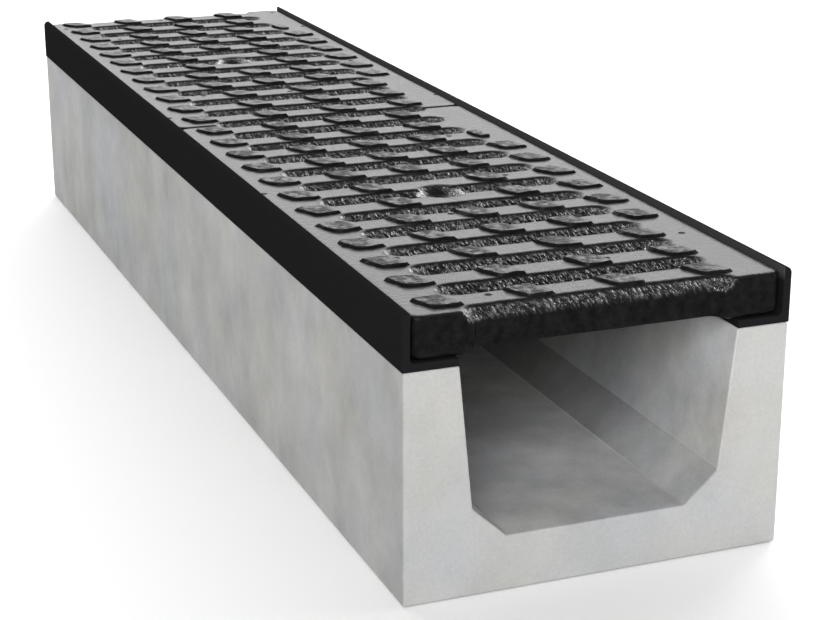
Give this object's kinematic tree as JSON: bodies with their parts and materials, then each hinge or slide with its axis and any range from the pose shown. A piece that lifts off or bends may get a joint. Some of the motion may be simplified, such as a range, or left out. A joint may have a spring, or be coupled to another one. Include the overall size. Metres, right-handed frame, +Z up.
{
  "type": "drainage channel",
  "caption": "Precast concrete drainage trough with dark angle rails along its top edges and slotted cast-iron gratings resting end to end between them.",
  "frame": {"origin": "centre of the bed that the channel lies on, halfway along it", "axes": "+X along the water's way towards the near end, +Y across, +Z up out of the ground"},
  "size_m": [1, 0.25, 0.18],
  "materials": {
    "concrete": "fine-grained light grey concrete, cast against smooth steel forms",
    "rail_paint": "satin black paint on rolled steel angle",
    "anchor_steel": "plain flat steel, cast into the concrete",
    "grate_iron": "sand-cast ductile iron dipped in glossy black paint"
  },
  "bodies": {
    "root": {"concrete_body": "concrete", "edge_rail_left": "rail_paint", "edge_rail_right": "rail_paint", "rail_anchors_left": "anchor_steel", "rail_anchors_right": "anchor_steel", "grate_front": "grate_iron", "grate_rear": "grate_iron"}
  },
  "joints": []
}
